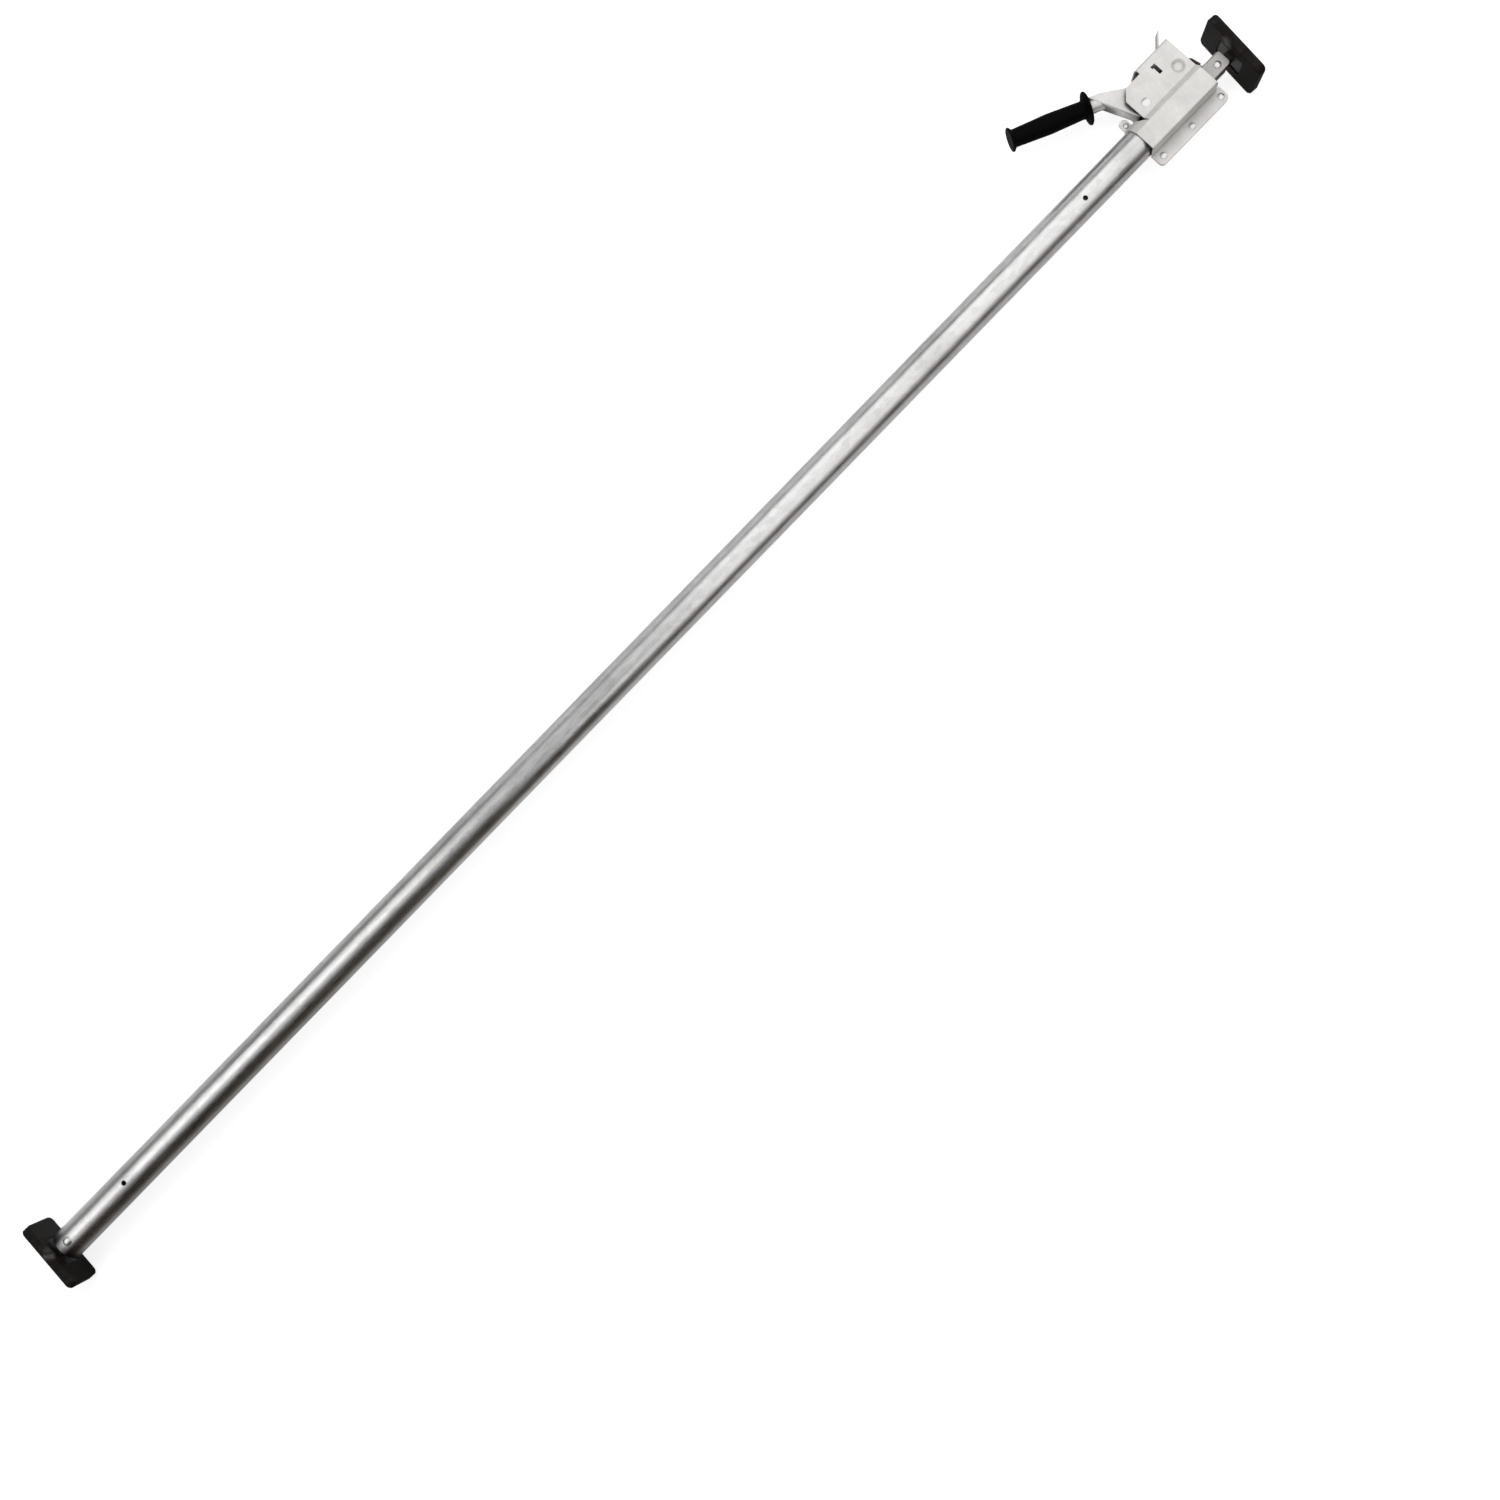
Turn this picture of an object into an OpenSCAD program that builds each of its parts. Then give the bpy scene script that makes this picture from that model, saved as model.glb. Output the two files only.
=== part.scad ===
// Ratcheting cargo bar, closed to its shortest length and lying on its side.
// X runs along the tube from the fixed foot to the jack foot, Y points to the handle, Z is up.
// The origin is where the tube's axis meets the fixed foot's tread. Millimetres and degrees.

/* [Bar] */
// Length between the two treads, on the tube's axis, with the jack closed
bar_length = 2261; // [1600:1:2600]
// Outside diameter of the main tube
tube_d = 44.45; // [43:0.05:47]
// Wall of the main tube
tube_wall = 1.9; // [1.6:0.1:2.3]
// Gap from the fixed tread to the tube's end
tube_setback = 20; // [18:0.5:24]
// Diameter of the two cross holes in the tube
vent_d = 7; // [4:0.5:9]
// Place of the cross hole near the fixed foot, from its tread
foot_vent_x = 145; // [100:1:400]
// Place of the cross hole near the jack, from the jack's tread
head_vent_back = 287; // [230:1:400]
// Turn of the jack-end cross hole about the tube's axis
head_vent_turn = 9; // [0:1:20]

/* [Feet] */
// Long side of a rubber pad
pad_length = 101.6; // [80:0.1:120]
// Short side of a rubber pad
pad_width = 63.5; // [52:0.1:70]
// Thickness of a rubber pad, ribs included
pad_thickness = 13; // [10:0.5:15]
// Corner radius of a rubber pad
pad_corner = 8; // [4:0.5:14]
// Chamfer round a rubber pad's faces
pad_chamfer = 1.5; // [0.5:0.25:2.5]
// Depth of the grooves across the tread
groove_depth = 1.5; // [0.5:0.25:2.5]
// Width of one tread groove
groove_width = 3; // [2:0.5:5]
// Spacing of the tread grooves
groove_pitch = 8; // [6:0.5:12]
// Plain border beside the ends of the tread grooves
tread_border = 5; // [4:0.5:9]
// Half-height of the plain band in the middle of the tread
plain_band = 10; // [8:0.5:14]
// Distance from a foot's hinge to its tread
foot_depth = 36; // [34:0.5:42]
// Lean of the fixed foot, top towards the jack
fixed_tilt = 2.3; // [0:0.1:8]
// Lean of the jack foot, top away from the tube
jack_tilt = 5.5; // [0:0.1:8]
// Long side of the recess for a foot's bracket
pocket_length = 44; // [36:1:60]
// Short side of the recess for a foot's bracket
pocket_width = 30; // [26:1:36]
// Depth of the recess for a foot's bracket
pocket_depth = 4.5; // [3.5:0.5:6]
// Plate thickness of a foot's bracket
bracket_sheet = 3; // [2:0.25:3.25]
// Half-height of a bracket's ears
bracket_ear = 6; // [5:0.25:6.5]
// Shank diameter of the foot rivets
foot_pin_d = 6; // [4:0.5:7]
// Head diameter of the foot rivets
foot_head_d = 12; // [9:0.5:14]

/* [Jack rack] */
// Width of the rack channel
rack_width = 25; // [23:0.25:26]
// Height of the rack channel
rack_height = 24; // [22:0.25:25]
// Wall of the rack channel
rack_wall = 3; // [2:0.25:3.5]
// Outside bend radius of the rack channel
rack_bend = 3.5; // [3:0.25:5]
// Gap from the jack's tread to the rack's end
rack_setback = 22; // [20:0.5:25]
// Spacing of the ratchet windows
rack_pitch = 9.525; // [9:0.025:10]
// Steps of travel from closed to fully open
travel_steps = 40; // [20:1:44]
// Length of one ratchet window along the rack
window_length = 6; // [5.75:0.05:6.5]
// Width of one ratchet window
window_width = 15; // [14:0.25:17]
// Length of the nylon guide on the rack's inner end
guide_length = 30; // [20:1:45]
// Diameter of the pin through that guide
guide_pin_d = 5; // [3:0.5:7]
// Height of the stop ring rolled into the tube's mouth
stop_ring = 1.1; // [0.9:0.05:1.4]

/* [Housing] */
// Housing's near edge to the jack's tread
head_length = 180; // [176:0.5:190]
// Sheet thickness of the two pressed halves
sheet = 2; // [1.5:0.1:2.3]
// Length of the pressed barrel that wraps the tube and rack
barrel_length = 121; // [119:0.5:124]
// Length of the riveted flange below the barrel
flange_length = 128; // [126:0.5:132]
// Height of the riveted flange
flange_height = 19.5; // [17:0.5:24]
// Corner radius of the riveted flange
flange_corner = 6; // [3:0.5:8]
// First flange rivet, from the near edge
flange_rivet_x = 11.6; // [9:0.2:14]
// Spacing of the flange rivets
flange_rivet_pitch = 54.3; // [48:0.1:55]
// Shank diameter of the flange rivets
flange_rivet_d = 5; // [4:0.5:6]
// Near edge of the side plates, from the housing's near edge
plate_start = 25; // [23.5:0.5:27]
// Far edge of the side plates, from the housing's near edge
plate_end = 122.5; // [121:0.5:124]
// Clear width between the side plates
plate_gap = 30; // [29.5:0.1:31]
// Height of the side plates over the tube's axis
plate_top = 70; // [69:0.25:71]
// Height of the plates' low shoulder over the tube's axis
shoulder_top = 61.5; // [59:0.25:63]
// Where the low shoulder ends and the roof begins, from the near edge
roof_start = 63; // [61:0.25:65]
// Height of the clamp ear over its strap
ear_height = 13.8; // [12:0.2:16]
// Height of the clamp rivet over the strap
ear_rivet_rise = 4.3; // [4:0.1:6]
// Diameter of the dimples pressed into the side plates
dimple_d = 20; // [16:0.5:22]
// Depth of those dimples
dimple_depth = 4; // [2:0.25:4.2]
// Height of the dimples over the tube's axis
dimple_y = 32; // [31:0.25:34]
// Length of the release tab's slot in the roof
roof_slot_length = 12.5; // [12:0.1:14]

/* [Handle] */
// Handle hinge, from the housing's near edge
hinge_x = 42; // [40.5:0.25:43.5]
// Handle hinge above the rack's toothed face
hinge_rise = 18.5; // [18.4:0.1:20]
// Diameter of the hinge rivet
hinge_d = 8; // [6:0.5:9]
// Outside diameter of the handle's shank, and width of its channel
shank_d = 19.6; // [18:0.2:20]
// Sheet thickness of the handle
lever_sheet = 2; // [1.5:0.1:2.2]
// Swing of the handle, closed to open
handle_swing = 42; // [36:1:42]
// Slope of the grip back along the tube
grip_slope = 24.4; // [22:0.2:27]
// Length of the rubber grip
grip_length = 112; // [90:1:130]
// Diameter of the grip's barrel at mid length
grip_d = 27.4; // [25:0.2:32]
// Diameter of the grip's barrel at its ends
grip_neck_d = 24; // [23.2:0.2:27]
// Thickness of the grip's flanges at their rims
grip_lip = 2.6; // [2:0.1:4]
// Diameter of the flange next to the hand
grip_flange_d = 45; // [36:0.5:48]
// Diameter of the grip's end flange
grip_end_d = 32.6; // [30:0.2:40]

/* [Pawls] */
// Distance from the handle's hinge to the feed pawl's pin
feed_arm = 13.8; // [13.4:0.1:14]
// Width of the feed pawl
feed_width = 9; // [7:0.5:9.5]
// Length of the feed pawl, pin to tooth
feed_length = 17; // [15:0.5:20]
// Diameter of the feed pawl's pin
feed_pin_d = 4; // [3:0.25:4.5]
// Plate thickness of the holding pawl
pawl_sheet = 3.6; // [3:0.1:3.8]
// Width of the holding pawl between the dimples
pawl_width = 21; // [18:0.5:21.4]
// Ear slot of the holding pawl, from the housing's near edge
slot_x = 84.7; // [83:0.1:86]
// Centre height of the ear slot over the tube's axis
slot_y = 49.6; // [48:0.1:51]
// Height of the ear slot
slot_height = 15.6; // [13:0.2:17]
// Width of the ear slot
slot_width = 5.4; // [5:0.1:6]
// Sheet thickness of the release tab
tab_sheet = 2; // [1.5:0.1:2.2]
// Width of the release tab
tab_width = 18; // [14:0.5:20]
// Slope of the release tab
tab_slope = 44; // [42:0.5:46]
// Height of the release tab's tip over the tube's axis
tab_tip_y = 86.3; // [80:0.1:92]

/* [Hidden] */
$fn = 64;

// Clearances
slide_gap = 0.3;       // between faces that slide or stand beside each other
pin_gap = 0.05;        // radial, between a hinge pin and its bore
seat_gap = 0.1;        // between a push-on part and what it sits on
leaf_yield = 1.8;      // room for the release tab to lift under its leaf spring
cut = 1;               // how far a cutter runs past the face it cuts

// Tube and rack, measured from the tube's axis
tube_r = tube_d / 2;
bore_r = tube_r - tube_wall;
stop_ring_r = bore_r - stop_ring;
stop_ring_x = 8;
stop_ring_length = 3;
rack_floor = -sqrt(pow(stop_ring_r - slide_gap - seat_gap, 2) - pow(rack_width / 2, 2));
rack_top = rack_floor + rack_height;
rack_end_x = bar_length - rack_setback;
jack_travel = rack_pitch * travel_steps;

// Housing
head_x = bar_length - head_length;
barrel_z = tube_r + slide_gap + sheet;
barrel_floor = -(tube_r + slide_gap + sheet + 1);
barrel_shoulder = 8;
shoulder_rise = 8;
barrel_draft = 1.5;
plate_z = plate_gap / 2 + sheet;
bend_r = 3;
ear_x = 7;
ear_r = 6.2;
ear_top = barrel_z + ear_height;
ear_rivet_y = barrel_z + ear_rivet_rise;
ear_rivet_d = 4;
strap_length = 17;
small_head_h = 1.8;
dimple_bend = 3;
dimple_x = slot_x + 22;
mouth_length = 18;
tube_in_head = barrel_length - mouth_length - 2.5;
notch_x = 15;
notch_y = rack_top - 4;
mouth_x = head_x + tube_in_head + seat_gap;

// Feet
fixed_hinge_x = foot_depth / cos(fixed_tilt);
jack_hinge_y = (rack_floor + rack_top) / 2 - 1.6;
jack_hinge_x = bar_length - (foot_depth - jack_hinge_y * sin(jack_tilt)) / cos(jack_tilt);
foot_head_h = 2.4;
rack_head_d = foot_head_d - 1;
rack_end_r = 5;
bracket_base_x = pad_thickness - pocket_depth - foot_depth;
fixed_ear_z = pocket_width / 2 - seat_gap - bracket_sheet / 2;
jack_ear_z = rack_width / 2 - rack_wall - slide_gap - bracket_sheet / 2;

// Handle, measured from the housing's near edge
hinge_y = rack_top + hinge_rise;
shank_r = shank_d / 2;
lever_inside = shank_r - lever_sheet;
grip_face = [-7.8, 83.2];
grip_dir = [cos(grip_slope), -sin(grip_slope)];
grip_plug = 6;
web_low = [24.1, 24];
web_knee = [6.6, 66.6];
web_dir = unit(web_low - web_knee);
lever_high = [13, 84];
lever_top = [42.4, 62.4];

// Pawls, measured from the housing's near edge
feed_pin = [hinge_x + feed_arm * sin(handle_swing / 2), hinge_y - feed_arm * cos(handle_swing / 2)];
feed_dip = feed_arm * (1 - cos(handle_swing / 2));
feed_eye_r = 4;
feed_tooth_y = rack_top + feed_dip + slide_gap;
feed_sheet = 3.6;
feed_wire = 0.9;
pawl_elbow = [126.5, 28];
pawl_rake = 79;
pawl_tooth_y = rack_top + slide_gap + pawl_sheet / 2 * cos(pawl_rake);
pawl_tooth = [pawl_elbow[0] + (pawl_elbow[1] - pawl_tooth_y) / tan(pawl_rake), pawl_tooth_y];
pawl_bend = [slot_x, slot_y - 4.6];
tooth_width = window_width - 2;
bite = 2;
bite_angle = bite / (pawl_tooth[0] - slot_x) * 180 / PI;
bite_shift = bite * (slot_y - pawl_tooth_y) / (pawl_tooth[0] - slot_x);
window_x = head_x + pawl_tooth[0] - bite_shift;
window_count = travel_steps + 9;
guide_x = head_x + stop_ring_x - jack_travel - slide_gap - guide_length;
rack_start_x = guide_x + guide_length - 8;
guide_pin_x = rack_start_x + guide_length / 2;
guide_pin_y = (rack_floor + rack_top) / 2;

// ---- Helpers ----

function unit(v) = v / norm(v);
function left_of(v) = [-v[1], v[0]];

// Points of an arc of radius r that rounds corner b between a and c
function corner(a, b, c, r, steps = 6) =
    let (u = unit(a - b), w = unit(c - b), half = acos(max(-1, min(1, u * w))) / 2)
    r <= 0 || half > 89.5 ? [b] :
    let (
        m = b + unit(u + w) * r / sin(half),
        p = b + u * r / tan(half) - m,
        q = b + w * r / tan(half) - m,
        from = atan2(p[1], p[0]),
        turn = atan2(p[0] * q[1] - p[1] * q[0], p * q)
    )
    [for (i = [0:steps]) m + r * [cos(from + turn * i / steps), sin(from + turn * i / steps)]];

// An open path with its inner corners rounded
function bent(path, r) = [
    path[0],
    for (i = [1:len(path) - 2]) each corner(path[i - 1], path[i], path[i + 1], r),
    path[len(path) - 1]
];

// A closed outline with its corners rounded by the radii in rs
function rounded(points, rs) = [
    for (i = [0:len(points) - 1])
        each corner(points[(i + len(points) - 1) % len(points)], points[i],
                    points[(i + 1) % len(points)], rs[i])
];

// Sideways step at point i that keeps a strip of half-width h even round a bend
function mitre(path, i, h) =
    let (
        before = left_of(unit(path[max(i, 1)] - path[max(i, 1) - 1])),
        after = left_of(unit(path[min(i + 1, len(path) - 1)] - path[min(i, len(path) - 2)])),
        mid = unit(before + after)
    )
    mid * h / (mid * after);

// Outline of a strip of thickness t along a path
function ribbon(path, t) = concat(
    [for (i = [0:len(path) - 1]) path[i] + mitre(path, i, t / 2)],
    [for (i = [len(path) - 1:-1:0]) path[i] - mitre(path, i, t / 2)]
);

// Extrudes a profile drawn in Y and Z along X, from x to x + length
module along_x(x, length) {
    translate([x, 0, 0]) rotate([90, 0, 90]) linear_extrude(length) children();
}

// Extrudes an outline drawn in X and Y over a width centred on Z
module across(width) {
    translate([0, 0, -width / 2]) linear_extrude(width) children();
}

// A cylinder along Z, centred on z = 0
module bar_z(x, y, r, length) {
    translate([x, y, -length / 2]) cylinder(r = r, h = length);
}

// A low round rivet head standing on z = 0
module rivet_head(r, h) {
    ball_r = (r * r + h * h) / (2 * h);
    intersection() {
        translate([0, 0, h - ball_r]) sphere(r = ball_r);
        cylinder(r = r, h = h);
    }
}

// A rivet along Z through a stack of the given thickness, with a head at each end
module rivet(x, y, shank_r, stack, head_r, head_h) {
    translate([x, y, 0]) {
        bar_z(0, 0, shank_r, stack);
        for (side = [0, 1]) mirror([0, 0, side]) translate([0, 0, stack / 2]) rivet_head(head_r, head_h);
    }
}

// Profile of a channel whose web lies on y = 0 and whose walls rise to y = depth
module channel_profile(width, depth, t, r) {
    difference() {
        union() {
            translate([r, -width / 2]) square([depth - r, width]);
            translate([0, -width / 2 + r]) square([r + cut, width - 2 * r]);
            for (side = [-1, 1]) translate([r, side * (width / 2 - r)]) circle(r = r);
        }
        translate([t, -width / 2 + t]) square([depth, width - 2 * t]);
    }
}

// Puts a part drawn from the housing's near edge in its place
module at_head() {
    translate([head_x, 0, 0]) children();
}

// ---- Tube ----

module main_tube() color("lightgray") difference() {
    union() {
        along_x(tube_setback, head_x + tube_in_head - tube_setback) difference() {
            circle(r = tube_r);
            circle(r = bore_r);
        }
        along_x(head_x + stop_ring_x, stop_ring_length) difference() {
            circle(r = tube_r - tube_wall / 2);
            circle(r = stop_ring_r);
        }
    }
    bar_z(fixed_hinge_x, 0, foot_pin_d / 2 + pin_gap, tube_d + 2 * cut);
    bar_z(foot_vent_x, 0, vent_d / 2, tube_d + 2 * cut);
    rotate([head_vent_turn, 0, 0])
        bar_z(bar_length - head_vent_back, 0, vent_d / 2, tube_d + 2 * cut);
    translate([head_x + notch_x, notch_y, -tube_r - cut])
        cube([tube_in_head, tube_r, tube_d + 2 * cut]);
}

// ---- Feet: drawn with the hinge at the origin and the tread facing -X ----

module at_fixed_hinge() {
    translate([fixed_hinge_x, 0, 0]) rotate([0, 0, -fixed_tilt]) children();
}

module at_jack_hinge() {
    translate([jack_hinge_x, jack_hinge_y, 0]) rotate([0, 0, -jack_tilt]) mirror([1, 0, 0]) children();
}

// A slab standing on x = 0 with round corners and chamfered faces
module chamfered_slab(length, width, t, r, c) {
    edge = [[0, c], [c, 0], [t - c, 0], [t, c]];
    for (y = [-1, 1], z = [-1, 1]) translate([0, y * (length / 2 - r), z * (width / 2 - r)])
        rotate([0, 90, 0]) rotate_extrude()
            polygon([[0, 0], [r - c, 0], [r, c], [r, t - c], [r - c, t], [0, t]]);
    for (side = [[length - 2 * r, width], [width - 2 * r, length]])
        rotate([side[1] == width ? 0 : 90, 0, 0])
            translate([0, side[0] / 2, 0]) rotate([90, 0, 0]) linear_extrude(side[0])
                polygon([
                    for (p = edge) [p[0], p[1] - side[1] / 2],
                    for (i = [3:-1:0]) [edge[i][0], side[1] / 2 - edge[i][1]]
                ]);
}

module foot_pad() difference() {
    translate([-foot_depth, 0, 0])
        chamfered_slab(pad_length, pad_width, pad_thickness, pad_corner, pad_chamfer);
    translate([bracket_base_x, -pocket_length / 2, -pocket_width / 2])
        cube([pocket_depth + cut, pocket_length, pocket_width]);
    for (side = [-1, 1], y = [plain_band:groove_pitch:pad_length / 2 - pad_corner])
        translate([-foot_depth - cut, side * (y + groove_width / 2) - groove_width / 2,
                   tread_border - pad_width / 2])
            cube([groove_depth + cut, groove_width, pad_width - 2 * tread_border]);
}

// The base fills the pad's recess, and two ears reach the hinge
module foot_bracket(ear_z) difference() {
    union() {
        translate([bracket_base_x, seat_gap - pocket_length / 2, seat_gap - pocket_width / 2])
            cube([bracket_sheet, pocket_length - 2 * seat_gap, pocket_width - 2 * seat_gap]);
        for (side = [-1, 1]) translate([0, 0, side * ear_z]) {
            bar_z(0, 0, bracket_ear, bracket_sheet);
            translate([bracket_base_x, -bracket_ear, -bracket_sheet / 2])
                cube([-bracket_base_x, 2 * bracket_ear, bracket_sheet]);
        }
    }
    bar_z(0, 0, foot_pin_d / 2 + pin_gap, tube_d);
}

module fixed_foot_pad() color("#2b2a29") at_fixed_hinge() foot_pad();

module fixed_foot_bracket() color("#3a3a3c")
    at_fixed_hinge() foot_bracket(fixed_ear_z);

module fixed_foot_rivet() color("whitesmoke")
    rivet(fixed_hinge_x, 0, foot_pin_d / 2, tube_d, foot_head_d / 2, foot_head_h);

module jack_foot_pad() color("#2b2a29") at_jack_hinge() foot_pad();

module jack_foot_bracket() color("#3a3a3c") at_jack_hinge() foot_bracket(jack_ear_z);

module jack_foot_rivet() color("whitesmoke")
    rivet(jack_hinge_x, jack_hinge_y, foot_pin_d / 2, rack_width, rack_head_d / 2, foot_head_h);

// ---- Rack ----

// Side view of the rack, with its free end rounded
module rack_side(r) {
    translate([rack_start_x, rack_floor]) square([rack_end_x - rack_start_x - r, rack_height]);
    translate([rack_start_x, rack_floor + r]) square([rack_end_x - rack_start_x, rack_height - 2 * r]);
    for (y = [rack_floor + r, rack_top - r]) translate([rack_end_x - r, y]) circle(r = r);
}

module rack_channel() color("#c9c7c2") difference() {
    intersection() {
        translate([rack_start_x - cut, rack_top, 0]) rotate([180, 0, 0])
            along_x(0, rack_end_x - rack_start_x + 2 * cut)
                channel_profile(rack_width, rack_height, rack_wall, rack_bend);
        across(rack_width + cut) rack_side(rack_end_r);
    }
    for (i = [0:window_count - 1])
        translate([window_x - i * rack_pitch - window_length / 2, rack_top - rack_wall - cut, -window_width / 2])
            cube([window_length, rack_wall + 2 * cut, window_width]);
    bar_z(jack_hinge_x, jack_hinge_y, foot_pin_d / 2 + pin_gap, rack_width + cut);
    bar_z(guide_pin_x, guide_pin_y, guide_pin_d / 2, rack_width + cut);
}

// Nylon slide that carries the rack's inner end in the tube and meets the stop ring
module rack_guide() color("ivory") {
    difference() {
        along_x(guide_x, guide_length) circle(r = bore_r - slide_gap);
        translate([rack_start_x - seat_gap, rack_top + seat_gap, 0]) rotate([180, 0, 0])
            along_x(0, guide_length)
                channel_profile(rack_width + 2 * seat_gap, rack_height + 2 * seat_gap,
                                rack_wall + 2 * seat_gap, rack_bend);
        bar_z(guide_pin_x, guide_pin_y, guide_pin_d / 2, tube_d);
    }
}

module rack_guide_pin() color("silver")
    bar_z(guide_pin_x, guide_pin_y, guide_pin_d / 2,
          2 * sqrt(pow(bore_r - slide_gap, 2) - pow(rack_height / 4, 2)) - 2);

// Block between the housing halves that centres the rack where it leaves the barrel
module rack_mouth_bearing() color("#2e2e30") {
    half = barrel_z - sheet - seat_gap;
    low = barrel_floor + sheet + seat_gap;
    high = rack_top + 3;
    high_half = half - (high + 1 - barrel_shoulder) * (barrel_z - plate_z) / shoulder_rise;
    difference() {
        along_x(mouth_x, mouth_length) polygon([
            [low, 0], [low + barrel_draft, 2 - half], [low + barrel_draft + 2, -half],
            [barrel_shoulder - 2, -half], [high, -high_half], [high, high_half],
            [barrel_shoulder - 2, half], [low + barrel_draft + 2, half], [low + barrel_draft, half - 2]
        ]);
        along_x(mouth_x - cut, mouth_length + 2 * cut)
            translate([rack_floor - slide_gap, -rack_width / 2 - slide_gap])
                square([rack_height + 2 * slide_gap, rack_width + 2 * slide_gap]);
    }
}

// ---- Housing: two pressed halves that meet on z = 0 ----

// Sections of the front half, drawn along the middle of the sheet in Y and Z
barrel_path = bent([
    [barrel_floor - flange_height, sheet / 2], [barrel_floor + sheet / 2, sheet / 2],
    [barrel_floor + sheet / 2 + barrel_draft, barrel_z - sheet / 2],
    [barrel_shoulder, barrel_z - sheet / 2], [barrel_shoulder + shoulder_rise, plate_z - sheet / 2]
], bend_r);
plate_path = bent([
    [barrel_shoulder, barrel_z - sheet / 2], [barrel_shoulder + shoulder_rise, plate_z - sheet / 2],
    [plate_top - sheet / 2, plate_z - sheet / 2], [plate_top - sheet / 2, 0]
], bend_r);

// Strap that follows the tube from the barrel's shoulder up to the clamp ear
module saddle_section() difference() {
    intersection() {
        circle(r = barrel_z);
        translate([barrel_shoulder - 2, 0]) square([tube_d, tube_d]);
    }
    circle(r = barrel_z - sheet);
}

// Side view of the plate: low shoulder, then the roof
module plate_side() {
    polygon(rounded([
        [plate_start, barrel_shoulder], [plate_start, shoulder_top - 13],
        [plate_start + 13, shoulder_top], [roof_start, shoulder_top],
        [roof_start, plate_top], [plate_end, plate_top], [plate_end, barrel_shoulder]
    ], [0, 4, 5, 0, 0, 1, 0]));
}

// Side view of the clamp ear
module ear_side() {
    polygon(rounded([
        [ear_x - ear_r, barrel_z - sheet / 2], [ear_x - ear_r, ear_top],
        [ear_x + ear_r, ear_top], [ear_x + ear_r, barrel_z - sheet / 2]
    ], [0, ear_r - 0.2, ear_r - 0.2, 0]));
}

// Side view of the saddle strap, sloped down to the foot of the side plate
module saddle_side() {
    polygon([
        [0, barrel_shoulder - 2], [0, barrel_z + cut], [strap_length, barrel_z + cut],
        [strap_length, barrel_z - 6], [plate_start, barrel_shoulder + 1], [plate_start, barrel_shoulder - 2]
    ]);
}

module barrel_side() {
    polygon(rounded([
        [0, barrel_floor - flange_height], [flange_length, barrel_floor - flange_height],
        [flange_length, barrel_floor + sheet], [barrel_length, barrel_floor + sheet + 2],
        [barrel_length, tube_r], [0, tube_r]
    ], [flange_corner, flange_corner + 2, 0, 2, 0, 0]));
}

module barrel_shell() intersection() {
    along_x(0, flange_length) polygon(ribbon(barrel_path, sheet));
    linear_extrude(barrel_z + cut) barrel_side();
    union() {
        translate([0, barrel_floor - flange_height - cut, -cut])
            cube([flange_length, flange_height + sheet + cut, sheet + cut]);
        translate([0, barrel_floor - cut, -cut]) cube([barrel_length, 2 * tube_d, 2 * tube_d]);
    }
    // the barrel stops at the side plate, and the saddle strap takes over towards the tube
    union() {
        translate([0, -tube_d * 2, -cut]) cube([flange_length, tube_d * 2 + barrel_shoulder, tube_d]);
        translate([plate_start, 0, -cut]) cube([plate_end - plate_start, tube_d, tube_d]);
    }
}

module dimple_wall() {
    rim = dimple_d / 2;
    rotate_extrude() polygon(ribbon(bent([
        [0, -sheet / 2 - dimple_depth], [rim - dimple_depth, -sheet / 2 - dimple_depth],
        [rim, -sheet / 2], [rim + 3, -sheet / 2]
    ], dimple_bend), sheet));
}

module housing_half() difference() {
    union() {
        barrel_shell();
        intersection() {
            along_x(0, plate_start) saddle_section();
            linear_extrude(barrel_z + cut) saddle_side();
        }
        linear_extrude(sheet) ear_side();
        difference() {
            intersection() {
                along_x(plate_start, plate_end - plate_start) polygon(ribbon(plate_path, sheet));
                linear_extrude(barrel_z + cut) plate_side();
            }
            translate([dimple_x, dimple_y, plate_z - 2 * sheet]) cylinder(r = dimple_d / 2 + 2, h = 3 * sheet);
        }
        translate([dimple_x, dimple_y, plate_z]) dimple_wall();
    }
    housing_cuts();
}

// Holes and slots that both halves share
module housing_cuts() {
    for (i = [0:2]) bar_z(flange_rivet_x + i * flange_rivet_pitch, barrel_floor - flange_height / 2,
                          flange_rivet_d / 2, 4 * sheet);
    bar_z(ear_x, ear_rivet_y, ear_rivet_d / 2, 4 * sheet);
    bar_z(hinge_x, hinge_y, hinge_d / 2, 3 * plate_z);
    // slot for the pawl's ears, with its wider entry
    translate([slot_x - slot_width / 2, slot_y - slot_height / 2, sheet])
        cube([slot_width, slot_height, 2 * plate_z]);
    translate([slot_x - slot_width / 2 - 2, slot_y + slot_height / 2 - 4, sheet])
        cube([slot_width + 2, 4, 2 * plate_z]);
    // relief where the roof is bent over
    translate([roof_start - 1, shoulder_top, plate_gap / 2 - 4]) cube([2.5, 6, 3 * sheet]);
    // slot in the roof for the release tab
    translate([tab_at(plate_top)[0] - 0.6 * roof_slot_length, plate_top - 2 * sheet, -cut])
        cube([roof_slot_length, 3 * sheet, tab_width / 2 + 2 * slide_gap + cut]);
}

module housing_front() color("gainsboro") at_head() housing_half();

// The back half's barrel is cut back along a slope where the tube enters
module housing_back() color("gainsboro") at_head() difference() {
    mirror([0, 0, 1]) housing_half();
    translate([0, -barrel_z + 8, 0]) rotate([90, 0, 0]) linear_extrude(tube_d)
        polygon([[-cut, -sheet], [0, -sheet], [barrel_z / 2, -barrel_z - cut], [-cut, -barrel_z - cut]]);
}

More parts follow.
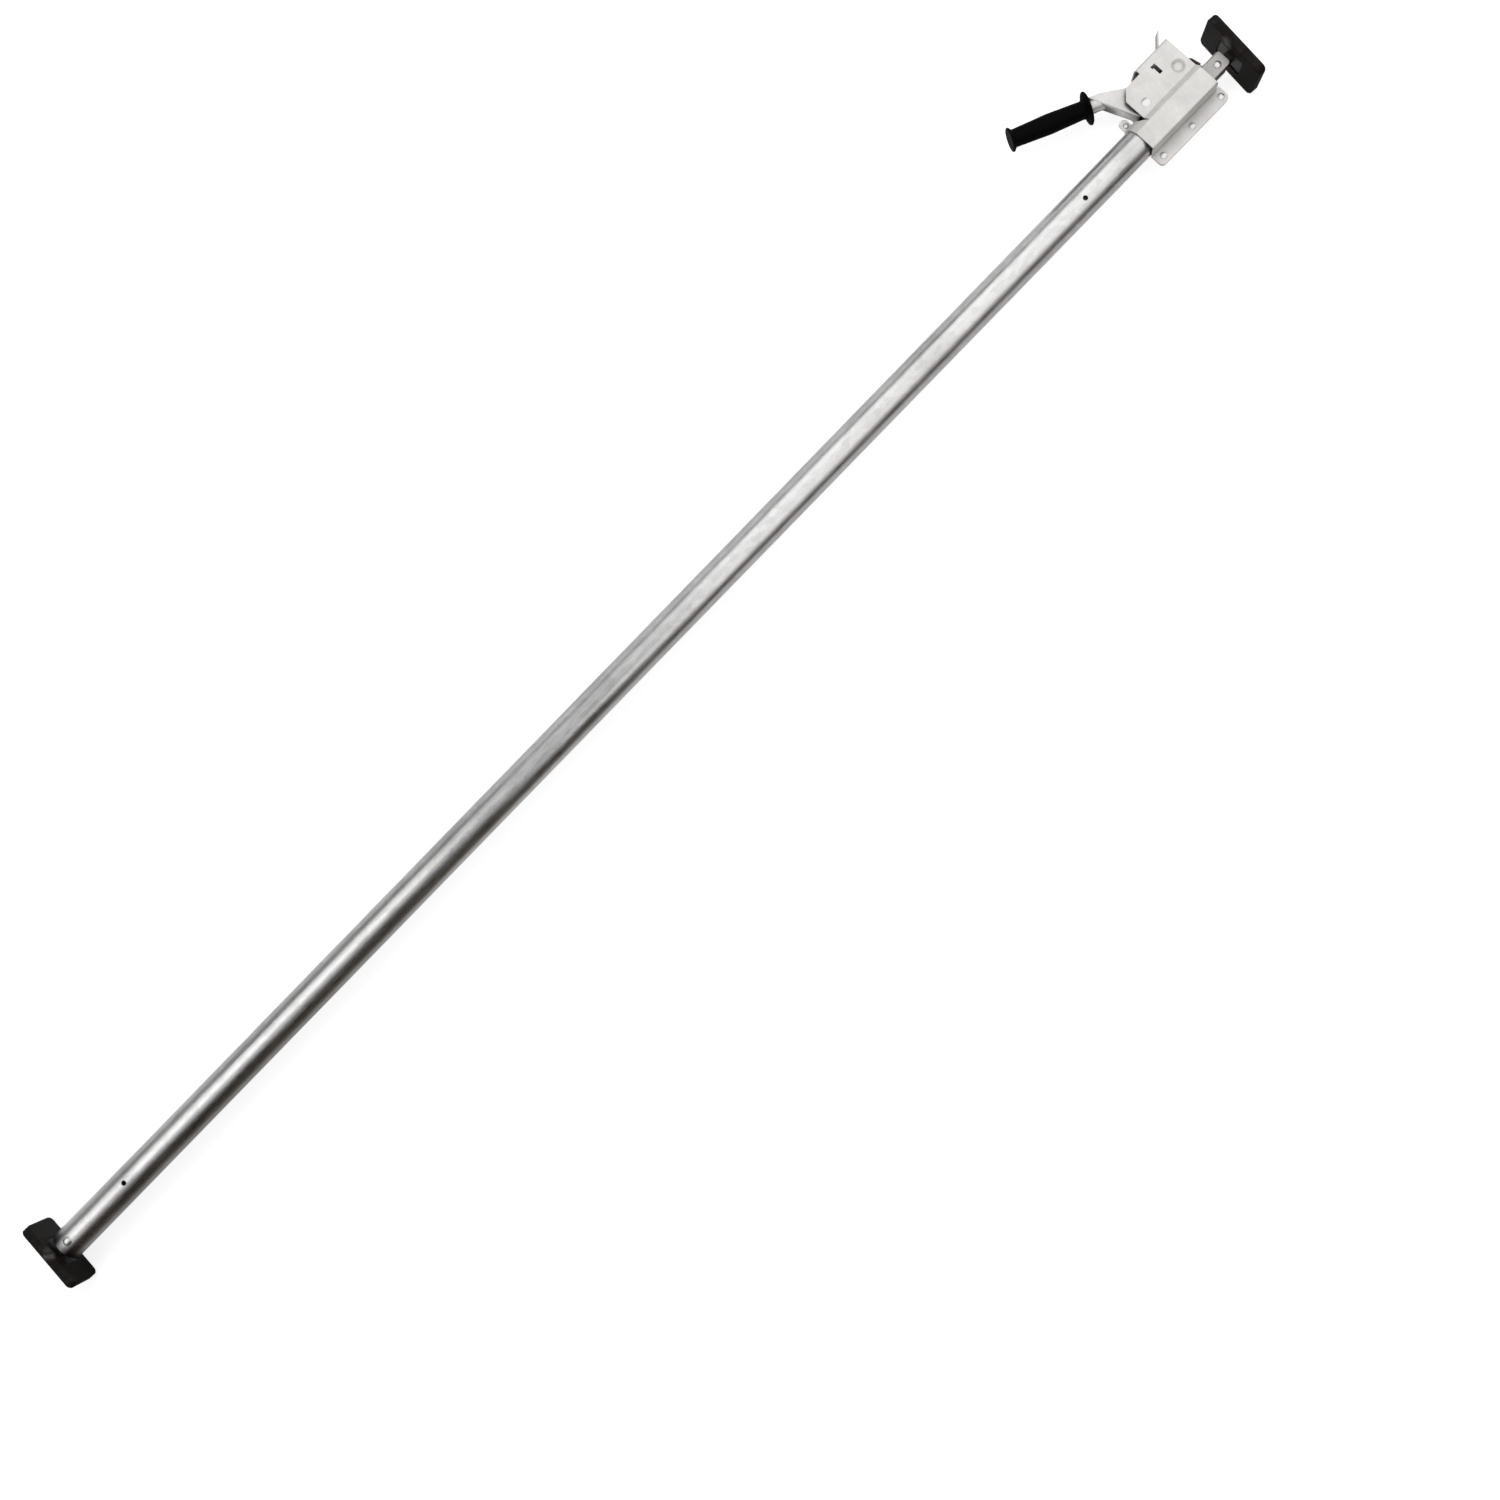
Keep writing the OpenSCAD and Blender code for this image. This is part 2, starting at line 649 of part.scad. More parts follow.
module flange_rivets() color("whitesmoke") at_head()
    for (i = [0:2]) rivet(flange_rivet_x + i * flange_rivet_pitch, barrel_floor - flange_height / 2,
                          flange_rivet_d / 2, 2 * sheet, flange_rivet_d, small_head_h);

module clamp_ear_rivet() color("whitesmoke") at_head()
    rivet(ear_x, ear_rivet_y, ear_rivet_d / 2, 2 * sheet, ear_rivet_d, small_head_h);

// ---- Handle ----

// Side view of the handle's cheeks, from the shank to the nose that carries the feed pawl
module cheek_side() {
    shank_edge = grip_face + left_of(grip_dir) * shank_r + grip_dir * seat_gap;
    web_top = web_knee - web_dir * ((shank_edge - web_knee) * -web_dir);
    polygon(rounded([
        web_knee, web_top, lever_high, lever_top,
        [hinge_x + 13, hinge_y + 14], [hinge_x + 11, hinge_y - 4],
        feed_pin + [5, -1], feed_pin - [0, feed_eye_r + 0.2], feed_pin - [8, feed_eye_r - 2.5], web_low
    ], [2, 1, 8, 6, 8, 5, 3, 4, 3, 2]));
}

module at_grip() {
    translate([grip_face[0], grip_face[1], 0]) rotate([0, 0, -grip_slope]) rotate([0, 90, 0]) children();
}

// Puts a part in the web's frame: X down the web, Y into the channel
module at_web() {
    translate([web_knee[0], web_knee[1], 0])
        rotate([0, 0, atan2(web_dir[1], web_dir[0])]) children();
}

module shank() difference() {
    at_grip() translate([0, 0, grip_plug - grip_length]) difference() {
        cylinder(r = shank_r, h = grip_length + 40);
        translate([0, 0, -cut]) cylinder(r = shank_r - lever_sheet, h = grip_length + 40 + 2 * cut);
    }
    at_web() translate([-3 * shank_d, lever_sheet / 2, -shank_d]) cube([6 * shank_d, 4 * shank_d, 2 * shank_d]);
}

module handle_lever() color("gainsboro") at_head() difference() {
    union() {
        shank();
        intersection() {
            across(shank_d) cheek_side();
            at_web() along_x(-3 * shank_d, 8 * shank_d)
                channel_profile(shank_d, 4 * shank_d, lever_sheet, lever_sheet + 1);
        }
    }
    bar_z(hinge_x, hinge_y, hinge_d / 2 + pin_gap, plate_gap);
    bar_z(feed_pin[0], feed_pin[1], feed_pin_d / 2, plate_gap);
}

// Soft sleeve with a slightly swollen barrel between two thin flanges
module handle_grip() color("#1c1c1d") at_head() at_grip() rotate_extrude() {
    core = shank_r + seat_gap;
    stop = grip_plug - grip_length;
    neck = [grip_neck_d / 2, grip_lip + 3 - grip_length, -grip_lip - 4];
    polygon(rounded([
        [core, 0], [core, stop - seat_gap], [0, stop - seat_gap],
        [0, -grip_length], [grip_end_d / 2, -grip_length], [grip_end_d / 2, grip_lip - grip_length],
        [neck[0], neck[1]], [grip_d / 2, -grip_length / 2], [neck[0], neck[2]],
        [grip_flange_d / 2, -grip_lip], [grip_flange_d / 2, 0]
    ], [0, 0, 0, 0, 1.2, 1.2, 4, 120, 5, 1.2, 1.2]));
}

module handle_hinge_rivet() color("whitesmoke") at_head()
    rivet(hinge_x, hinge_y, hinge_d / 2, 2 * plate_z, hinge_d / 2 + 2.8, small_head_h);

// A short tube round the hinge rivet, from z = low to z = high
module hinge_tube(low, high) difference() {
    translate([hinge_x, hinge_y, low]) cylinder(r = hinge_d / 2 + 3, h = high - low);
    bar_z(hinge_x, hinge_y, hinge_d / 2 + pin_gap, 3 * plate_gap);
}

module handle_hinge_spacer() color("silver") at_head()
    hinge_tube(slide_gap - lever_inside, lever_inside - slide_gap);

module hinge_washers() color("silver") at_head() for (side = [0, 1]) mirror([0, 0, side])
    hinge_tube(shank_r + slide_gap, plate_gap / 2 - seat_gap);

// ---- Pawls ----

module feed_pawl() color("#4a4a4c") at_head() difference() {
    tip = [feed_pin[0] + feed_length, feed_tooth_y + feed_sheet / 2 * cos(40)];
    union() {
        bar_z(feed_pin[0], feed_pin[1], feed_eye_r, feed_width);
        across(feed_width) polygon(ribbon(bent([
            feed_pin + [1, 1.5], feed_pin + [feed_length - 7, 3.5], tip
        ], 3), feed_sheet));
    }
    bar_z(feed_pin[0], feed_pin[1], feed_pin_d / 2 + pin_gap, plate_gap);
}

module feed_pawl_pin() color("silver") at_head()
    bar_z(feed_pin[0], feed_pin[1], feed_pin_d / 2, shank_d);

// Torsion spring beside the feed pawl: two close turns, and a leg that rests on the lever's web
module feed_pawl_spring() color("#b8b8ba") at_head() {
    wire_r = feed_wire / 2;
    coil_r = feed_pin_d / 2 + wire_r + slide_gap;
    translate([feed_pin[0], feed_pin[1], feed_width / 2 + slide_gap + wire_r]) {
        rotate_extrude() for (i = [0:1]) translate([coil_r, i * feed_wire * 0.95]) circle(r = wire_r, $fn = 24);
        translate([0, -coil_r, 0]) rotate([0, -90, -25]) cylinder(r = wire_r, h = 8);
    }
}

pawl_path = bent([pawl_bend + [0, 9], pawl_bend, pawl_elbow, pawl_tooth], 5);

module holding_pawl() color("#2a2a2c") at_head() {
    difference() {
        across(pawl_width) polygon(ribbon(pawl_path, pawl_sheet));
        for (side = [-1, 1])
            translate([pawl_tooth[0] - 10, rack_top, side > 0 ? tooth_width / 2 : -pawl_width])
                cube([20, bite + 2 * slide_gap + cut, pawl_width - tooth_width / 2]);
    }
    translate([slot_x - pawl_sheet / 2, slot_y - 4.5, -plate_z + 0.2])
        cube([pawl_sheet, 9, 2 * plate_z - 0.4]);
}

// Point on the release tab's middle line at height y
function tab_at(y) = tab_root + [(y - tab_root[1]) / tan(tab_slope), y - tab_root[1]];

pawl_run = unit(pawl_elbow - pawl_bend);
tab_lift = (pawl_sheet + tab_sheet) / 2;
tab_root = pawl_bend + left_of(pawl_run) * tab_lift + pawl_run * 0.9;

module release_tab() color("gainsboro") at_head()
    across(tab_width) polygon(ribbon(bent([
        tab_root + pawl_run * 22, tab_root, tab_at(tab_tip_y)
    ], 2.5), tab_sheet));

// Leaf under the roof that presses the release tab, and so the pawl's tooth, down
module holding_pawl_spring() color("#b8b8ba") at_head() {
    leaf = 0.8;
    under = plate_top - sheet - leaf / 2;
    press = tab_at(slot_y + 10) + [-sin(tab_slope), cos(tab_slope)] * (tab_sheet / 2 + leaf_yield + leaf / 2);
    across(10) polygon(ribbon(bent([
        [roof_start + 4, under], [slot_x - 3, under], press, press + [2.5, 4]
    ], 1.5), leaf));
}

main_tube();
fixed_foot_rivet();
fixed_foot_bracket();
fixed_foot_pad();
jack_foot_rivet();
jack_foot_bracket();
jack_foot_pad();
rack_channel();
rack_guide();
rack_guide_pin();
rack_mouth_bearing();
housing_front();
housing_back();
flange_rivets();
clamp_ear_rivet();
handle_lever();
handle_grip();
handle_hinge_rivet();
handle_hinge_spacer();
hinge_washers();
feed_pawl();
feed_pawl_pin();
feed_pawl_spring();
holding_pawl();
release_tab();
holding_pawl_spring();
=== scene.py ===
"""Looks, light and camera for the ratcheting cargo bar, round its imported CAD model.

Metres, in the CAD model's own frame: X along the tube, Y towards the handle, Z up.
"""

import math

import bpy
from mathutils import Matrix, Vector

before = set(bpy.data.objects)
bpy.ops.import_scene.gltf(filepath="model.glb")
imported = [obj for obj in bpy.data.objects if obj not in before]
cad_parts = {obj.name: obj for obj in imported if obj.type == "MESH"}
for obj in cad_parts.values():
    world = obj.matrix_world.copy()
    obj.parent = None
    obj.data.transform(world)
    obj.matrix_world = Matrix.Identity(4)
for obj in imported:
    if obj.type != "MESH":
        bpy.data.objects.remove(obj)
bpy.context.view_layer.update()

MM = 0.001

# ---- Camera, placed so that the bar lies in the picture as it does in the photograph ----
CAMERA_AT = (1.1723, -0.4178, 2.1869)
CAMERA_AIM = (1.1428, -0.1939, 0.0)
CAMERA_ROLL = 45.65          # lean of the picture's up direction away from +Y
CAMERA_LENS = 39.72
CAMERA_SENSOR = 36.0
CAMERA_REACH = 100.0

# ---- Stage ----
BAR_LENGTH = 2.265
FLOOR_Z = -31.75 * MM        # the pads stand on their long sides
FLOOR_HALF = 12.0
FLOOR_GLOW = 0.78            # share of the floor's white that no shadow reaches, near the bar
FLOOR_NEAR = (0.45, 1.2)     # metres from the bar over which that share grows to all of it
FLOOR_PAINT = 0.62
FLOOR_FIBRE = 900.0
SKY_DIFFUSE = 0.62           # white surroundings, as they light the object
KEY_AT = (1.7, 1.5, 2.3)
KEY_AIM = (1.3, 0.0, 0.0)
KEY_SIZE = (2.4, 1.2)
KEY_WATTS = 26.0

# ---- Light tent: grey panels round the tube's axis and cards on the floor ----
TENT_RADIUS = 1.5
TENT_STEPS = 24
TENT = (-2.6, 4.2)           # from beyond the fixed foot to beyond the opened jack
CARD_REACH = 1.4             # how far the floor cards go to either side
NARROWEST_FADE = 1e-4
BROWN = 0.20                 # warmth of the dark panels and cards

# ---- Textures: scales are in repeats per metre ----
MOTTLE = 34.0
CLOUD = 11.0
DRAWN_GRAIN = 420.0
ZINC_CRYSTAL = 150.0
SCRATCH = 1500.0
SCRATCH_TURNS = (27.0, -61.0)
SCRATCH_SHARE = 0.28
END_SHADE_RAGGED = 0.012         # metres by which the border of the painted end shade wanders
RUBBER_GRAIN = 650.0
GRIP_GRAIN = 900.0
RUBBER_PATCH = 46.0
RUBBER_SPECK = 1400.0
RUBBER_EDGE = 1.1 * MM
SMEAR = 0.22                 # grey level of a rubbed mark
ALONG_TUBE = (0.05, 1, 1)    # stretches a texture along X


# ---- Node building ----

class Tree:
    """Adds nodes to a node tree. An input is a plain value or another node's output."""

    def __init__(self, owner):
        owner.use_nodes = True
        self.tree = owner.node_tree
        self.tree.nodes.clear()

    def feed(self, socket, value):
        if isinstance(value, bpy.types.NodeSocket):
            self.tree.links.new(value, socket)
        elif socket.type == "RGBA":
            socket.default_value = (*value[:3], 1.0)
        else:
            socket.default_value = value

    def add(self, kind, inputs=None, **settings):
        node = self.tree.nodes.new(kind)
        for name, value in settings.items():
            setattr(node, name, value)
        for name, value in (inputs or {}).items():
            self.feed(node.inputs[name], value)
        return node

    def math(self, operation, a, b=0.0, clamp=False):
        node = self.add("ShaderNodeMath", {0: a, 1: b}, operation=operation, use_clamp=clamp)
        return node.outputs[0]

    def own_place(self, stretch=(1, 1, 1), turn=(0, 0, 0)):
        """The piece's own coordinates in metres, turned in degrees and then stretched."""
        coordinates = self.add("ShaderNodeTexCoord").outputs["Object"]
        turned = self.add("ShaderNodeMapping", {
            "Vector": coordinates, "Rotation": [math.radians(a) for a in turn]}).outputs[0]
        return self.add("ShaderNodeMapping", {"Vector": turned, "Scale": stretch}).outputs[0]

    def noise(self, scale, detail=3.0, roughness=0.55, stretch=(1, 1, 1), turn=(0, 0, 0),
              distortion=0.0):
        return self.add("ShaderNodeTexNoise", {
            "Vector": self.own_place(stretch, turn), "Scale": scale, "Detail": detail,
            "Roughness": roughness, "Distortion": distortion}).outputs["Fac"]

    def crystals(self, scale, stretch=(1, 1, 1)):
        """One random level for each cell of a zinc coat."""
        cells = self.add("ShaderNodeTexVoronoi", {
            "Vector": self.own_place(stretch), "Scale": scale, "Randomness": 1.0}, feature="F1")
        return self.add("ShaderNodeSeparateColor", {0: cells.outputs["Color"]}).outputs[0]

    def scratches(self, turn):
        """Thin straight scratches in the XY plane, turned by an angle."""
        lines = self.noise(SCRATCH, detail=1.0, roughness=0.4, stretch=(0.016, 1, 0.5),
                           turn=(0, 0, turn))
        return self.spread(lines, 0.70, 0.735)

    def spread(self, value, low, high, to_low=0.0, to_high=1.0):
        """Maps low..high to to_low..to_high and holds the ends."""
        return self.add("ShaderNodeMapRange", {
            "Value": value, "From Min": low, "From Max": high,
            "To Min": to_low, "To Max": to_high}).outputs[0]

    def blend(self, share, a, b):
        """Colour a where share is 0 and colour b where it is 1."""
        node = self.add("ShaderNodeMix", data_type="RGBA")
        self.feed(node.inputs[0], share)
        self.feed(node.inputs[6], a)
        self.feed(node.inputs[7], b)
        return node.outputs[2]

    def edges(self, width):
        """1 on the piece's edges fading to 0 on its faces, and the normal softened over width."""
        soft = self.add("ShaderNodeBevel", {"Radius": width}, samples=6).outputs[0]
        flat = self.add("ShaderNodeNewGeometry").outputs["Normal"]
        along = self.add("ShaderNodeVectorMath", {0: soft, 1: flat}, operation="DOT_PRODUCT")
        return self.spread(along.outputs["Value"], 0.995, 0.85), soft

    def open_air(self, reach):
        """1 where the surface is open and 0 deep in a corner, looking reach millimetres away."""
        nearby = self.add("ShaderNodeAmbientOcclusion", {"Distance": reach * MM}, samples=4)
        return nearby.outputs["AO"]

    def bump(self, height, depth, normal):
        return self.add("ShaderNodeBump", {
            "Height": height, "Distance": depth, "Strength": 1.0, "Normal": normal}).outputs[0]

    def finish(self, shader, kind="ShaderNodeOutputMaterial"):
        self.add(kind, {"Surface": shader.outputs[0]})


def warm(level, warmth=0.0):
    """A grey level leaning to brown, or to blue below 0."""
    return (level * (1 + warmth), level, level * (1 - warmth))


def times(factor, colour):
    """A colour made darker or brighter, up to white."""
    return [min(1.0, factor * c) for c in colour]


# ---- Materials ----

def metal(name, dark, light, rough, grain=(1, 1, 1), turn=(0, 0, 0), crystal=0.0, streak=0.5,
          dirt=0.0, edge=0.5, edge_width=0.5, metallic=1.0, relief=0.02, corner=0.4, reach=24.0,
          end_shade=None):
    """Bare or coated steel: mottled coat, drawn grain, scratches, and worn edges with painted
    highlight.

    Painted shade darkens corners within reach millimetres, and the piece from one given X to
    another.
    """
    material = bpy.data.materials.new(name)
    t = Tree(material)
    mottle = t.noise(MOTTLE, detail=4.0, roughness=0.6, stretch=grain, turn=turn)
    cloud = t.noise(CLOUD, detail=2.0, roughness=0.5)
    fine = t.noise(DRAWN_GRAIN, detail=5.0, roughness=0.7, stretch=grain, turn=turn)
    level = t.spread(t.math("ADD", t.math("MULTIPLY", mottle, 1 - streak),
                            t.math("MULTIPLY", fine, streak)), 0.34, 0.66)
    if crystal:
        flake = t.crystals(ZINC_CRYSTAL, (0.6, 1, 1))
        level = t.math("ADD", t.math("MULTIPLY", level, 1 - crystal),
                       t.math("MULTIPLY", flake, crystal))
    colour = t.blend(level, dark, light)
    stain = t.math("MULTIPLY", t.spread(cloud, 0.50, 0.72), dirt)
    colour = t.blend(stain, colour, times(0.42, dark))
    # Edges are lightened partly by wear and partly by a painted highlight.
    wear_and_edge_highlight, soft = t.edges(edge_width * MM)
    colour = t.blend(t.math("MULTIPLY", wear_and_edge_highlight, edge), colour, times(1.22, light))
    # Painted shade: a band with a ragged border darkens the piece from one given X to another.
    if end_shade:
        along = t.add("ShaderNodeSeparateXYZ", {0: t.own_place()}).outputs[0]
        wander = t.math("MULTIPLY", t.math("SUBTRACT", mottle, 0.5), END_SHADE_RAGGED)
        share = t.spread(t.math("ADD", along, wander), end_shade[0], end_shade[1], 0.88, 0.0)
        colour = t.blend(share, colour, times(0.16, dark))
    # Painted shade: corners and places close to other parts are darkened in colour.
    corner_shade = t.spread(t.open_air(reach), 0.85, 0.25, 0.0, corner)
    colour = t.blend(corner_shade, colour, times(0.12, dark))
    lines = t.math("MAXIMUM", *(t.scratches(angle) for angle in SCRATCH_TURNS))
    lines = t.math("MULTIPLY", lines, t.spread(cloud, 0.40, 0.60, 0.15, 1.0))
    colour = t.blend(t.math("MULTIPLY", lines, SCRATCH_SHARE), colour, times(1.3, light))
    roughness = t.math("ADD", t.spread(fine, 0.3, 0.7, rough[0], rough[1]),
                       t.math("MULTIPLY", t.spread(mottle, 0.40, 0.65), 0.07))
    height = t.math("ADD", fine, t.math("MULTIPLY", mottle, 0.6))
    height = t.math("SUBTRACT", height, t.math("MULTIPLY", lines, 0.5))
    t.finish(t.add("ShaderNodeBsdfPrincipled", {
        "Base Color": colour, "Metallic": metallic, "Roughness": roughness,
        "Normal": t.bump(height, relief * MM, soft)}))
    return material


def smear(t, place, size, patch):
    """1 in the middle of a patchy mark of the given size, fading to 0 at its rim."""
    coordinates = t.add("ShaderNodeTexCoord").outputs["Object"]
    away = t.add("ShaderNodeVectorMath", {0: coordinates, 1: place}, operation="SUBTRACT")
    across = t.add("ShaderNodeVectorMath", {0: away.outputs[0], 1: [1 / s for s in size]},
                   operation="MULTIPLY")
    reach = t.add("ShaderNodeVectorMath", {0: across.outputs[0]}, operation="LENGTH")
    return t.math("MULTIPLY", t.spread(reach.outputs["Value"], 1.0, 0.3),
                  t.spread(patch, 0.38, 0.62))


def rubber(name, dark, light, rough, grain_scale=RUBBER_GRAIN, relief=0.06, dust=0.3, mark=None,
           shine=0.45):
    """Moulded rubber or plastic: fine grain, dusty patches, and edges lightened by wear and
    painted sheen.

    A mark is the place and size of a lighter spot, where something has worn the piece by rubbing
    against it.
    """
    material = bpy.data.materials.new(name)
    t = Tree(material)
    grain = t.noise(grain_scale, detail=6.0, roughness=0.7)
    patch = t.noise(RUBBER_PATCH, detail=6.0, roughness=0.68, distortion=0.8)
    speck = t.noise(RUBBER_SPECK, detail=2.0, roughness=0.6)
    colour = t.blend(t.spread(grain, 0.35, 0.65), dark, light)
    dusty = t.math("MULTIPLY", t.spread(patch, 0.50, 0.72), dust)
    colour = t.blend(dusty, colour, times(2.6, light))
    specks = t.math("MULTIPLY", t.spread(speck, 0.66, 0.74), 0.5)
    colour = t.blend(specks, colour, times(4.0, light))
    # Edges are lightened partly by wear and partly by a painted sheen.
    wear_and_edge_highlight, soft = t.edges(RUBBER_EDGE)
    colour = t.blend(t.math("MULTIPLY", wear_and_edge_highlight, 0.55), colour, times(2.8, light))
    if mark is not None:
        share = t.math("MULTIPLY", smear(t, *mark, patch), 0.75)
        colour = t.blend(share, colour, warm(SMEAR, 0.04))
    roughness = t.math("ADD", t.spread(grain, 0.3, 0.7, rough[0], rough[1]),
                       t.math("MULTIPLY", dusty, 0.3), clamp=True)
    t.finish(t.add("ShaderNodeBsdfPrincipled", {
        "Base Color": colour, "Roughness": roughness, "Specular IOR Level": shine,
        "Normal": t.bump(grain, relief * MM, soft)}))
    return material


def dress(material, *names):
    """Gives the named CAD pieces one material."""
    for name in names:
        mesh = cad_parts[name].data
        mesh.materials.clear()
        mesh.materials.append(material)


def dress_zinc():
    """The tube and the pressed sheet: bright zinc."""
    # The tube's end at the fixed foot gets a band of painted shade.
    dress(metal("galvanised_tube", warm(0.62, 0.008), warm(0.97, 0.004), (0.19, 0.32),
                grain=ALONG_TUBE, crystal=0.34, streak=0.5, dirt=0.22, end_shade=(0.022, 0.044),
                edge=0.3, relief=0.025), "main_tube")
    sheet = dict(dark=warm(0.68, 0.026), light=warm(0.91, 0.020), rough=(0.42, 0.58), crystal=0.18,
                 streak=0.40, dirt=0.22, edge=0.55, edge_width=0.7, relief=0.02, metallic=0.72,
                 corner=0.55)
    # The lever's painted corner shade reaches 70 mm, darkening the web that faces the tube.
    lever = dict(sheet, rough=(0.28, 0.42), metallic=0.92, edge_width=0.5, corner=0.9, reach=70.0)
    dress(metal("zinc_housing", grain=(1, 0.22, 1), turn=(0, 0, 12), **sheet),
          "housing_front", "housing_back")
    dress(metal("zinc_lever", grain=(0.3, 1, 1), turn=(0, 0, 25), **lever),
          "handle_lever", "release_tab")


def dress_steel():
    """The rack, rivets, pins, brackets, pawls and springs."""
    dress(metal("rack_steel", warm(0.38, 0.03), warm(0.62, 0.025), (0.34, 0.50),
                grain=(0.35, 1, 1), crystal=0.12, streak=0.5, dirt=0.35, edge=0.6, relief=0.03),
          "rack_channel")
    dress(metal("bright_rivets", warm(0.78), warm(0.96), (0.26, 0.40), streak=0.3, dirt=0.12,
                edge=0.2, edge_width=0.3),
          "fixed_foot_rivet", "jack_foot_rivet", "flange_rivets", "clamp_ear_rivet",
          "handle_hinge_rivet")
    dress(metal("zinc_pins", warm(0.55, -0.01), warm(0.74, -0.01), (0.26, 0.40),
                grain=(1, 1, 0.2), dirt=0.2),
          "rack_guide_pin", "feed_pawl_pin", "handle_hinge_spacer", "hinge_washers")
    dress(metal("bracket_steel", warm(0.016, 0.05), warm(0.045, 0.05), (0.40, 0.60), dirt=0.4,
                edge=0.30, metallic=0.6, relief=0.04),
          "fixed_foot_bracket", "jack_foot_bracket")
    dress(metal("black_steel", warm(0.018), warm(0.045), (0.34, 0.52), dirt=0.3, edge=0.3,
                metallic=0.7, relief=0.03), "holding_pawl", "feed_pawl")
    dress(metal("spring_steel", warm(0.42, 0.01), warm(0.66, 0.01), (0.24, 0.38), dirt=0.2,
                edge=0.3), "feed_pawl_spring", "holding_pawl_spring")


def dress_rubber():
    """The pads, the grip and the nylon slides."""
    pad = dict(dark=warm(0.003, 0.10), light=warm(0.014, 0.10), rough=(0.50, 0.74), dust=0.7,
               shine=0.08)
    dress(rubber("pad_rubber_fixed", mark=((0.016, 0.004, 0.030), (0.020, 0.012, 0.010)), **pad),
          "fixed_foot_pad")
    dress(rubber("pad_rubber_jack", mark=((2.245, 0.006, 0.024), (0.010, 0.012, 0.012)), **pad),
          "jack_foot_pad")
    dress(rubber("grip_rubber", warm(0.0015), warm(0.003), (0.32, 0.50), grain_scale=GRIP_GRAIN,
                 relief=0.03, dust=0.12, shine=0.03), "handle_grip")
    dress(rubber("white_nylon", warm(0.62, 0.03), warm(0.70, 0.03), (0.35, 0.5), relief=0.02,
                 dust=0.0), "rack_guide")
    dress(rubber("black_nylon", warm(0.020), warm(0.032), (0.36, 0.52), relief=0.03, dust=0.15),
          "rack_mouth_bearing")


# ---- Stage ----

def mesh_object(name, points, faces):
    """A new mesh object in the scene."""
    mesh = bpy.data.meshes.new(name)
    mesh.from_pydata(points, [], faces)
    made = bpy.data.objects.new(name, mesh)
    bpy.context.scene.collection.objects.link(made)
    return made


def seen_background(t):
    """1 for rays that show the background: from the camera, off metal and through glass."""
    path = t.add("ShaderNodeLightPath").outputs
    seen = t.math("ADD", path["Is Camera Ray"], path["Is Glossy Ray"], clamp=True)
    return t.math("ADD", seen, path["Is Transmission Ray"], clamp=True)


def floor_glow(t):
    """Strength of the floor's glow: least near the bar, and all of its white away from it."""
    at = t.add("ShaderNodeSeparateXYZ", {0: t.own_place()}).outputs
    half = BAR_LENGTH / 2
    past_end = t.math("SUBTRACT", t.math("ABSOLUTE", t.math("SUBTRACT", at[0], half)), half)
    away = t.math("MAXIMUM", t.math("ABSOLUTE", at[1]), past_end)
    return t.spread(away, FLOOR_NEAR[0], FLOOR_NEAR[1], FLOOR_GLOW, 1.0)


def make_floor():
    """White floor whose glow hides most of the shadow, and whose paint keeps the rest."""
    h = FLOOR_HALF
    corners = [(-h, -h, FLOOR_Z), (h, -h, FLOOR_Z), (h, h, FLOOR_Z), (-h, h, FLOOR_Z)]
    floor = mesh_object("floor", corners, [(0, 1, 2, 3)])
    material = bpy.data.materials.new("floor_paper")
    t = Tree(material)
    colour = t.blend(t.noise(FLOOR_FIBRE), warm(FLOOR_PAINT * 0.98), warm(FLOOR_PAINT * 1.02))
    paint = t.add("ShaderNodeBsdfDiffuse", {"Color": colour, "Roughness": 0.5})
    glow = t.add("ShaderNodeEmission", {
        "Color": warm(1.0), "Strength": t.math("MULTIPLY", seen_background(t), floor_glow(t))})
    t.finish(t.add("ShaderNodeAddShader", {0: paint.outputs[0], 1: glow.outputs[0]}))
    floor.data.materials.append(material)


def make_world():
    """White all round: full where it is seen, and less where it lights the object."""
    world = bpy.data.worlds.new("studio")
    bpy.context.scene.world = world
    t = Tree(world)
    strength = t.spread(seen_background(t), 0.0, 1.0, SKY_DIFFUSE, 1.0)
    t.finish(t.add("ShaderNodeBackground", {"Color": warm(1.0), "Strength": strength}),
             "ShaderNodeOutputWorld")


def faded(t, size, soft_across, soft_along, most):
    """Cover of a card: most in its middle, fading to 0 towards each edge by that edge's width."""
    at = t.add("ShaderNodeSeparateXYZ", {0: t.add("ShaderNodeTexCoord").outputs["UV"]}).outputs
    cover = most
    for value, length, soft in ((at[0], size[0], soft_across), (at[1], size[1], soft_along)):
        for from_edge, width in ((value, soft[0]), (t.math("SUBTRACT", 1.0, value), soft[1])):
            fade = t.add("ShaderNodeMapRange", {
                "Value": from_edge, "From Min": 0.0,
                "From Max": max(width, NARROWEST_FADE) / length}, interpolation_type="SMOOTHSTEP")
            cover = t.math("MULTIPLY", fade.outputs[0], cover)
    return cover


